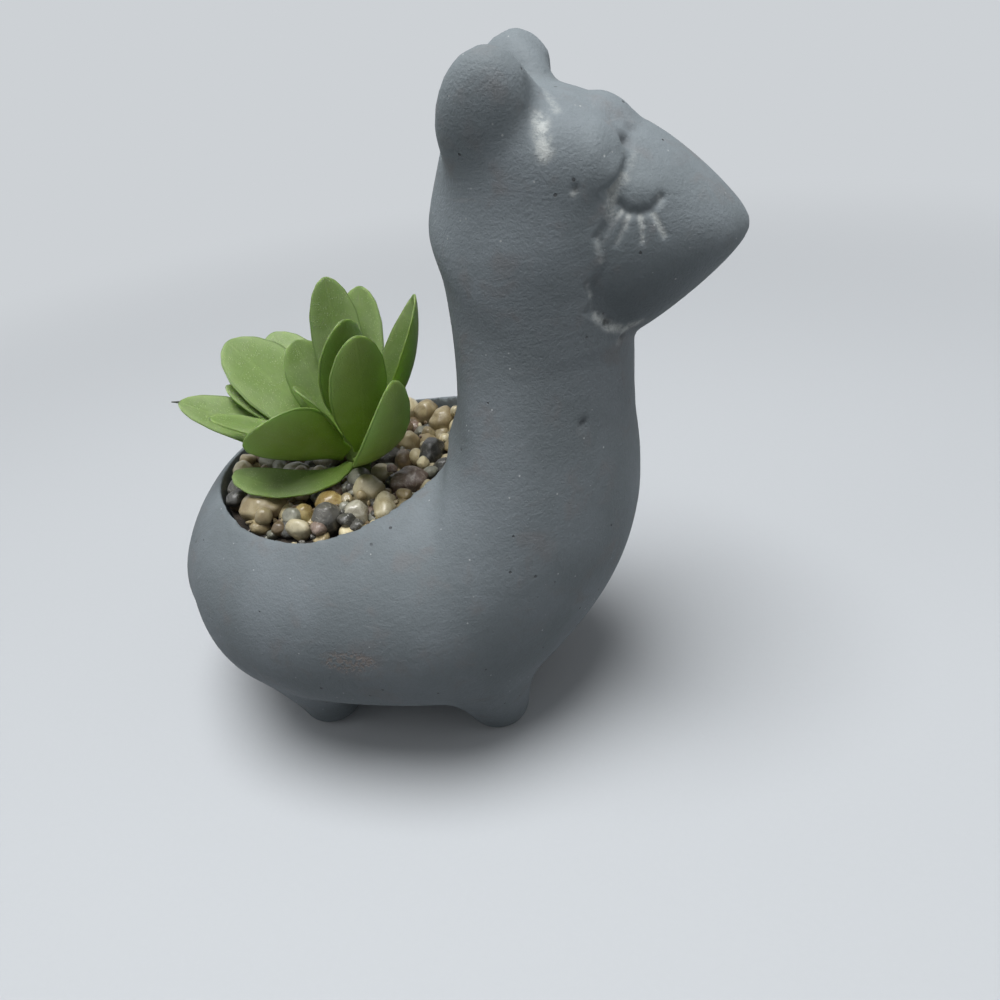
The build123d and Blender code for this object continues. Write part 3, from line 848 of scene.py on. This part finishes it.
def make_chip(name, chance, cuts):
    """One rough chip: a ball stretched and cut by flat planes."""
    bpy.ops.object.select_all(action="DESELECT")
    bpy.ops.mesh.primitive_ico_sphere_add(subdivisions=2, radius=CHIP_SIZE / 2)
    chip = bpy.context.object
    chip.name = name
    bpy.ops.object.mode_set(mode="EDIT")
    bpy.ops.mesh.select_all(action="SELECT")
    bpy.ops.transform.resize(value=(1, chance.uniform(0.68, 0.9), chance.uniform(0.5, 0.75)))
    for _ in range(cuts):
        away = Vector([chance.gauss(0, 1) for _ in range(3)]).normalized()
        bpy.ops.mesh.select_all(action="SELECT")
        reach = CHIP_SIZE / 2 * chance.uniform(0.5, 0.72)
        bpy.ops.mesh.bisect(plane_co=away * reach, plane_no=away, use_fill=True, clear_outer=True)
    bpy.ops.object.mode_set(mode="OBJECT")
    return chip


def surface_of(pieces):
    """The pieces' faces, ready for rays to be cast on them."""
    corners = []
    faces = []
    for piece in pieces:
        start = len(corners)
        corners += [point.co.copy() for point in piece.data.vertices]
        faces += [[start + corner for corner in face.vertices] for face in piece.data.polygons]
    return BVHTree.FromPolygons(corners, faces)


def drop(spot, grounds):
    """Where something that falls at a spot first meets the bed."""
    hits = [ground.ray_cast(spot, Vector((0, 0, -1)))[0] for ground in grounds]
    return max((hit for hit in hits if hit), key=lambda hit: hit.z, default=None)


def lay_chips(chips, layer, grounds, chance):
    """Copies of the chips, dropped at random places of the well where the bed is still low."""
    count = layer[0]
    low, high, top_limit = (size * MM for size in layer[1:])
    foam_low, foam_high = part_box("foam_plug")
    middle = (foam_low + foam_high) / 2
    radius = (foam_high.x - foam_low.x) / 2
    stem_low, stem_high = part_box("stem")
    stem = (stem_low + stem_high) / 2
    laid = []
    taken = []
    tries = 0
    while len(laid) < count and tries < count * TRIES_EACH:
        tries += 1
        size = chance.uniform(low, high)
        away = (radius + WALL_OVERLAP - size * WALL_SHARE) * math.sqrt(chance.random())
        turn = chance.uniform(0, 2 * math.pi)
        spot = Vector((middle.x + away * math.cos(turn), middle.y + away * math.sin(turn), DROP_HEIGHT))
        if math.hypot(spot.x - stem.x, spot.y - stem.y) < STEM_CLEARANCE + size * STEM_SHARE:
            continue
        hit = drop(spot, grounds)
        if hit is None or hit.z > top_limit + away * BED_SLOPE:
            continue
        pebble = drop(spot, grounds[:1])
        if pebble and pebble.z >= hit.z and pebble.z > PEBBLE_CROWN:
            continue
        # A chip lies in a hollow between the stones, never on top of one
        around = [Vector((math.cos(step), math.sin(step), 0)) for step in range(6)]
        felt = [drop(spot + way * size * FEEL_SHARE, grounds) for way in around]
        if sum(hit.z - fall.z for fall in felt if fall) > len(felt) * FALL_SHARE * size:
            continue
        if any((hit - other).length < (size + width) * NEXT_SHARE for other, width in taken):
            continue
        taken.append((hit, size))
        chip = chance.choice(chips).copy()
        chip.data = chip.data.copy()
        bpy.context.scene.collection.objects.link(chip)
        turned = Euler([chance.uniform(0, 2 * math.pi) for _ in range(3)]).to_matrix().to_4x4()
        turned = Matrix.Diagonal((1, 1, FLATTENED, 1)) @ turned
        place = Matrix.Translation((hit.x, hit.y, hit.z + size * RAISED_SHARE))
        chip.data.transform(place @ turned @ Matrix.Diagonal((size / CHIP_SIZE,) * 3 + (1,)))
        put_mark(chip, "tone", np.full(len(chip.data.vertices), chance.random()))
        laid.append(chip)
    return laid


def make_gravel():
    """The whole bed: the large pebbles, smaller ones between them and loose grit."""
    chance = random.Random(GRAVEL_SEED)
    lumps = bpy.data.textures.new("pebble_lumps", "CLOUDS")
    lumps.noise_scale = LUMP_SIZE
    lumps.noise_depth = 1
    finishes = {kind: stone_finish(kind) for kind in STONES}
    piles = {kind: make_stones(kind, chance, lumps) for kind in STONES}

    chips = [make_chip(f"chip_{number}", chance, CHIP_CUTS) for number in range(CHIP_SHAPES)]
    worn = [make_chip(f"worn_{number}", chance, WORN_CUTS) for number in range(CHIP_SHAPES)]
    for stone in worn:
        tumble(stone, SMALL_STEP, 8, lumps)
    grounds = [surface_of(piles.values()), surface_of([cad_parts["foam_plug"]])]
    small_stones = []
    for layer in FILLER_LAYERS:
        laid = lay_chips(worn, layer, grounds, chance)
        grounds.append(surface_of(laid))
        small_stones += laid
    small_stones += lay_chips(chips, GRIT_LAYER, grounds, chance)
    for chip in (*chips, *worn):
        bpy.data.objects.remove(chip)

    dealt = {kind: [] for kind in STONES}
    for number, stone in enumerate(small_stones):
        dealt[SMALL_KINDS[number * DEAL_STEP % len(SMALL_KINDS)]].append(stone)
    for kind, pile in piles.items():
        smooth(pile, 50)
        pile = join([pile, *dealt[kind]], f"{kind}_pebbles")
        pile.data.materials.clear()
        pile.data.materials.append(finishes[kind])
        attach(pile, "filling")
        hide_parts(f"pebbles_{kind}")
        "quartz" if kind == "quartz" else f"{kind}_stone"


def foam_finish():
    """Floral foam with fine open cells: its dark colour also serves as painted shade in the gaps between the
    stones, and its pores are painted darker as shade.
    """
    finish = Finish("dark_foam", roughness=0.95)
    pores = finish.cells(1300)
    crumbs = finish.noise(420, 4, 0.7)
    colour = finish.mix(paint(30, 27, 24), paint(58, 50, 42), crumbs.rise(0.35, 0.7))
    # Painted shade: darker in the pores
    finish.set("Base Color", finish.tint(colour, 0.6 + 0.8 * pores))
    finish.set("Normal", finish.relief(pores + crumbs, 0.3 * MM))
    return finish.material


# Plant

# Leaf tops and backs, which differ partly in colour and partly by painted light and shade
LEAF_TOP = paint(116, 140, 76)
LEAF_TOP_BLUSH = paint(130, 150, 98)
LEAF_TOP_STALK = paint(118, 148, 54)
LEAF_BACK = paint(132, 156, 62)
LEAF_BACK_BLUSH = paint(142, 164, 80)
LEAF_BACK_STALK = paint(112, 136, 34)
LEAF_BACK_TIP = paint(158, 178, 106)
LEAF_SPECK = paint(186, 200, 158)
LEAF_VEIN = paint(150, 178, 96)
LEAF_BORDER = paint(154, 174, 118)
LEAF_RIM = paint(72, 96, 42)
# The corners of each section of a CAD leaf
SECTION_CORNERS = 6
# How firmly the rounded leaf keeps to the edge of the CAD leaf
EDGE_CREASE = 0.45
# How far the halves of a leaf fold up towards the middle of the plant, in millimetres at the rim
FOLDED_LEAVES = {"leaf_03_neck_side": 2.4, "leaf_13_front_broad": 1.5}
# What folded leaves fold towards, above the stem's top, in millimetres
FOLD_TOWARDS = (0, 0, 25)
# The stem's top for the leaves lies this far below its end, and their upper sides face this far above it
STEM_END = 3 * MM
CROWN_HEIGHT = 40 * MM
LEAF_SEED = 5
# The thread at a leaf's tip: its leaf, radius at its root and at its end, length, how far its middle
# stands out and how much of the leaf's rise it keeps
THREADED_LEAF = "leaf_10_rear_long"
THREAD_ROOT = 0.28 * MM
THREAD_END = 0.1 * MM
THREAD_LENGTH = 1.8 * MM
THREAD_REACH = 0.6 * MM
THREAD_RISE = 0.3


def leaf_finish():
    """Soft moulded plastic: speckled above, yellower below, paler towards the tip and with a dark rim. Part of
    the difference in brightness between tops and backs is painted light and shade.
    """
    finish = Finish("succulent_leaf")
    finish.set("Specular IOR Level", 0.42)
    finish.set("Subsurface Weight", 0.45)
    finish.set("Subsurface Radius", (0.7, 1.0, 0.3))
    finish.set("Subsurface Scale", 1.6 * MM)
    run = finish.node("UVMap", {"uv_map": "leaf_run"}, {})
    along = finish.part(run, 0)
    across = finish.part(run, 1)
    upper = finish.mark("upper")
    tone = finish.mark("tone")
    blush = finish.noise(130, 3, 0.55)
    mottle = finish.noise(620, 4, 0.65)
    blushed = blush.rise(0.35, 0.7)
    top = finish.mix(LEAF_TOP, LEAF_TOP_BLUSH, blushed)
    top = finish.mix(top, LEAF_TOP_STALK, along.rise(0.55, 0.0) * 0.8)
    back = finish.mix(LEAF_BACK, LEAF_BACK_BLUSH, blushed)
    back = finish.mix(back, LEAF_BACK_STALK, along.rise(0.6, 0.0) * 0.7)
    back = finish.mix(back, LEAF_BACK_TIP, along.rise(0.45, 1.0) * 0.7)
    # Tops and backs: partly real colour, partly painted light and shade
    colour = finish.mix(back, top, upper)
    specks = finish.cells(2400).rise(0.4, 0.1) * finish.noise(500, 2).rise(0.36, 0.6)
    colour = finish.mix(colour, LEAF_SPECK, specks * (0.4 + 0.6 * upper) * 0.35)
    vein = across.rise(0.12, 0.0)
    colour = finish.mix(colour, LEAF_VEIN, vein * 0.08)
    border = across.rise(0.5, 0.95) * along.rise(0.3, 0.8)
    colour = finish.mix(colour, LEAF_BORDER, border * 0.3)
    rim = across.rise(0.96, 1.0).most(along.rise(0.985, 1.0))
    colour = finish.mix(colour, LEAF_RIM, rim * 0.5)
    finish.set("Base Color", finish.tint(colour, 0.82 + 0.24 * mottle + 0.14 * tone))
    finish.set("Roughness", 0.47 + 0.14 * mottle)
    ribs = finish.relief(0.15 * vein + 0.4 * blush, 0.2 * MM)
    finish.set("Normal", finish.relief(mottle + 0.6 * specks, 0.08 * MM, ribs))
    return finish.material


def leaf_places(leaf, stem):
    """For each corner of a leaf its share of the way from stalk to tip and its share of the way to the rim.

    The CAD leaf is a row of sections with as many corners each, so steps along its edges count them.
    """
    points = [Vector(point.co) for point in leaf.data.vertices]
    nearest = sorted(range(len(points)), key=lambda number: (points[number] - stem).length)
    start = nearest[:SECTION_CORNERS]
    beside = {number: set() for number in range(len(points))}
    for edge in leaf.data.edges:
        beside[edge.vertices[0]].add(edge.vertices[1])
        beside[edge.vertices[1]].add(edge.vertices[0])
    rows = []
    reached = set()
    row = start
    while row:
        rows.append(row)
        reached.update(row)
        row = sorted({other for number in row for other in beside[number]} - reached)
    middles = [sum((points[number] for number in row), Vector()) / len(row) for row in rows]
    lengths = [0]
    for before, after in zip(middles, middles[1:]):
        lengths.append(lengths[-1] + (after - before).length)
    along = {}
    across = {}
    for row, middle, length in zip(rows, middles, lengths):
        widest = max((points[a] - points[b] for a in row for b in row), key=lambda gap: gap.length)
        half = widest.length / 2
        for number in row:
            along[number] = length / lengths[-1]
            across[number] = min(1, abs((points[number] - middle).dot(widest.normalized())) / half)
    return along, across


def fold_leaf(leaf, stem, depth):
    """Folds a leaf along its midrib."""
    layer = leaf.data.uv_layers["leaf_run"]
    across = np.zeros(len(leaf.data.vertices))
    along = np.zeros(len(leaf.data.vertices))
    for loop in leaf.data.loops:
        along[loop.vertex_index], across[loop.vertex_index] = layer.data[loop.index].uv
    places = points_of(leaf)
    middle = places.mean(axis=0)
    # The leaf's flat side faces along the direction in which its points spread least
    facing = np.linalg.svd(places - middle, full_matrices=False)[2][2]
    inward = np.array(stem) / MM + FOLD_TOWARDS - middle
    facing = facing * np.sign(facing @ inward)
    lift = across**1.5 * np.sin(np.pi * np.clip(along, 0, 1) ** 0.8)
    put_points(leaf, places + facing * (depth * lift)[:, None])


def make_leaf(node, finish, stem, crown, tone):
    """One leaf: the CAD leaf with its facets rounded off and its run stored for the finish."""
    leaf = copy_node(node, node.replace("leaf_", "succulent_leaf_"))
    along, across = leaf_places(leaf, stem)
    for layer in list(leaf.data.uv_layers):
        leaf.data.uv_layers.remove(layer)
    run = leaf.data.uv_layers.new(name="leaf_run")
    for loop in leaf.data.loops:
        run.data[loop.index].uv = (along[loop.vertex_index], across[loop.vertex_index])
    only(leaf)
    bpy.ops.object.mode_set(mode="EDIT")
    bpy.ops.mesh.select_all(action="SELECT")
    bpy.ops.mesh.tris_convert_to_quads(face_threshold=math.radians(60), shape_threshold=math.radians(60))
    bpy.ops.object.mode_set(mode="OBJECT")

    def on_rim(edge):
        return all(across[corner] > 0.9 and along[corner] < 0.97 for corner in edge.vertices)

    pick_edges(leaf, on_rim)
    bpy.ops.transform.edge_crease(value=EDGE_CREASE)
    bpy.ops.object.mode_set(mode="OBJECT")
    modify(leaf, "SUBSURF", levels=3, render_levels=3, uv_smooth="NONE")
    if node in FOLDED_LEAVES:
        fold_leaf(leaf, stem, FOLDED_LEAVES[node])
    places = points_of(leaf)
    normals = normals_of(leaf)
    towards = np.array(crown) / MM - places
    towards /= np.linalg.norm(towards, axis=1)[:, None]
    facing = (normals * towards).sum(axis=1)
    put_mark(leaf, "upper", soft_step(facing * 3 + 0.5))
    put_mark(leaf, "tone", np.full(len(places), tone))
    smooth(leaf, 80)
    leaf.data.materials.append(finish)
    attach(leaf, "plant")
    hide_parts(node)
    return leaf


def make_thread(leaf):
    """The dark thread that the mould left on the tip of the longest rear leaf."""
    places = points_of(leaf)
    tip = places[places[:, 0].argmin()]
    base = places[places[:, 0].argmax()]
    outward = Vector(tip - base).normalized()
    outward.z *= THREAD_RISE
    bpy.ops.object.select_all(action="DESELECT")
    bpy.ops.mesh.primitive_cone_add(
        vertices=10, radius1=THREAD_ROOT, radius2=THREAD_END, depth=THREAD_LENGTH
    )
    thread = bpy.context.object
    thread.name = "leaf_tip_thread"
    turned = outward.to_track_quat("Z", "Y").to_matrix().to_4x4()
    thread.data.transform(Matrix.Translation(Vector(tip) * MM + outward * THREAD_REACH) @ turned)
    finish = Finish("dark_thread", roughness=0.7)
    fibres = finish.noise(2500, 2)
    finish.set("Base Color", finish.mix(paint(46, 52, 44), paint(74, 78, 66), fibres))
    thread.data.materials.append(finish.material)
    smooth(thread, 40)
    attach(thread, "plant")


def make_plant():
    """All leaves around the stem, and the thread at the tip of one."""
    chance = random.Random(LEAF_SEED)
    low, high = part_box("stem")
    top = Vector(((low.x + high.x) / 2, (low.y + high.y) / 2, high.z - STEM_END))
    crown = top + Vector((0, 0, CROWN_HEIGHT))
    finish = leaf_finish()
    for node in sorted(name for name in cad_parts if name.startswith("leaf_")):
        leaf = make_leaf(node, finish, top, crown, chance.random())
        if node == THREADED_LEAF:
            make_thread(leaf)


def stem_finish():
    """The moulded stem: a duller, mottled green."""
    finish = Finish("succulent_stem", roughness=0.55)
    mottle = finish.noise(500, 4, 0.65)
    colour = finish.mix(paint(84, 104, 42), paint(112, 132, 66), mottle.rise(0.35, 0.65))
    finish.set("Base Color", colour)
    finish.set("Normal", finish.relief(mottle, 0.15 * MM))
    return finish.material


# Table, backdrop and lamps

# The board as it is seen, as it lights the object, and as it glows in the distance, and the light behind it
BOARD_SEEN = paint(194, 198, 202)
BOARD_DULL = paint(112, 114, 116)
BOARD_FAR = paint(205, 209, 213)
BACKDROP = paint(208, 212, 216)
# Where the glow begins and where it is full, from the object, in metres
GLOW_START = 0.18
GLOW_FULL = 0.46
# The board: its width, how far back it lies, the height of its wall and the radius of the fold, in metres
BOARD_SIZE = 2.4
BOARD_BACK = 0.2
BOARD_WALL = 1.6
BOARD_FOLD = 0.5
# Each lamp: its name, place, what it is turned to, width in metres and power in watts
LAMPS = [
    ("overhead_softbox", (-0.02, -0.09, 0.8), (0, 0, 0.05), 0.5, 6.8),
    ("left_fill", (-0.6, -0.4, 0.55), (0, 0, 0.1), 0.4, 0.55),
    ("right_bounce", (0.7, -0.05, 0.2), (0, 0, 0.05), 0.5, 0.7),
]
ROOM_COLOUR = (0.96, 0.98, 1.0)
ROOM_STRENGTH = 0.2


def board_finish():
    """Pale matt board, even in the distance so that it reads as one backdrop."""
    finish = Finish("pale_board", roughness=0.9)
    fibres = finish.noise(900, 2)
    seen = finish.node("LightPath", {}, {}, "Is Camera Ray")
    seen = seen.most(finish.node("LightPath", {}, {}, "Is Glossy Ray"))
    seen = seen.most(finish.node("LightPath", {}, {}, "Is Transmission Ray"))
    board = finish.mix(BOARD_DULL, BOARD_SEEN, seen)
    finish.set("Base Color", finish.tint(board, 0.99 + 0.02 * fibres))
    finish.set("Normal", finish.relief(fibres, 0.02 * MM))
    # Far from the object the board glows as evenly as the light behind it
    away = finish.length(finish.place).rise(GLOW_START, GLOW_FULL)
    glow = finish.node("Emission", {}, {"Color": BOARD_FAR, "Strength": 1})
    blend = {0: away * seen, 1: Wire(finish, finish.shader.outputs[0]), 2: glow}
    finish.feed(finish.nodes["Material Output"].inputs["Surface"], finish.node("MixShader", {}, blend))
    return finish.material


def make_stage():
    """The table, whose far edge is drawn up into a wall with a rounded fold."""
    bpy.ops.object.select_all(action="DESELECT")
    bpy.ops.mesh.primitive_plane_add(size=BOARD_SIZE, location=(0, BOARD_BACK, 0))
    table = bpy.context.object
    table.name = "table_top"
    pick_edges(table, lambda edge: all(end.y > 1 for end in ends_of(table, edge)))
    bpy.ops.mesh.extrude_region_move(TRANSFORM_OT_translate={"value": (0, 0, BOARD_WALL)})
    bpy.ops.object.mode_set(mode="OBJECT")
    bpy.ops.object.transform_apply(location=True, rotation=False, scale=False)
    pick_edges(table, lambda edge: all(end.y > 1 and end.z < 0.01 for end in ends_of(table, edge)))
    bpy.ops.mesh.bevel(offset=BOARD_FOLD, segments=16, affect="EDGES")
    bpy.ops.object.mode_set(mode="OBJECT")
    smooth(table, 60)
    table.data.materials.append(board_finish())


def add_lamp(name, place, target, size, power):
    """A round soft lamp at a place, turned to its target."""
    light = bpy.data.lights.new(name, "AREA")
    light.shape = "DISK"
    light.size = size
    light.energy = power
    lamp = bpy.data.objects.new(name, light)
    bpy.context.scene.collection.objects.link(lamp)
    aim = (Vector(target) - Vector(place)).to_track_quat("-Z", "Y")
    lamp.matrix_world = Matrix.Translation(place) @ aim.to_matrix().to_4x4()


def set_light():
    """The lamps, and a faint even light from the room, which looks like the board where it is seen."""
    for lamp in LAMPS:
        add_lamp(*lamp)
    world = bpy.data.worlds.new("studio")
    world.use_nodes = True
    bpy.context.scene.world = world
    nodes = world.node_tree.nodes
    links = world.node_tree.links
    room = nodes["Background"]
    room.inputs["Color"].default_value = (*ROOM_COLOUR, 1)
    room.inputs["Strength"].default_value = ROOM_STRENGTH
    shown = nodes.new("ShaderNodeBackground")
    shown.inputs["Color"].default_value = (*BACKDROP, 1)
    rays = nodes.new("ShaderNodeLightPath")
    mix = nodes.new("ShaderNodeMixShader")
    seen = rays.outputs["Is Camera Ray"]
    for kind in ("Is Glossy Ray", "Is Transmission Ray"):
        most = nodes.new("ShaderNodeMath")
        most.operation = "MAXIMUM"
        links.new(seen, most.inputs[0])
        links.new(rays.outputs[kind], most.inputs[1])
        seen = most.outputs[0]
    links.new(seen, mix.inputs[0])
    links.new(room.outputs[0], mix.inputs[1])
    links.new(shown.outputs[0], mix.inputs[2])
    links.new(mix.outputs[0], nodes["World Output"].inputs["Surface"])


def dress_node(node, material):
    """Gives a CAD node that stays in view its finish."""
    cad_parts[node].data.materials.clear()
    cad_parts[node].data.materials.append(material)


set_camera()
make_casting()
make_gravel()
make_plant()
dress_node("foam_plug", foam_finish())
dress_node("stem", stem_finish())
make_stage()
set_light()
bpy.context.scene.view_settings.view_transform = "Standard"
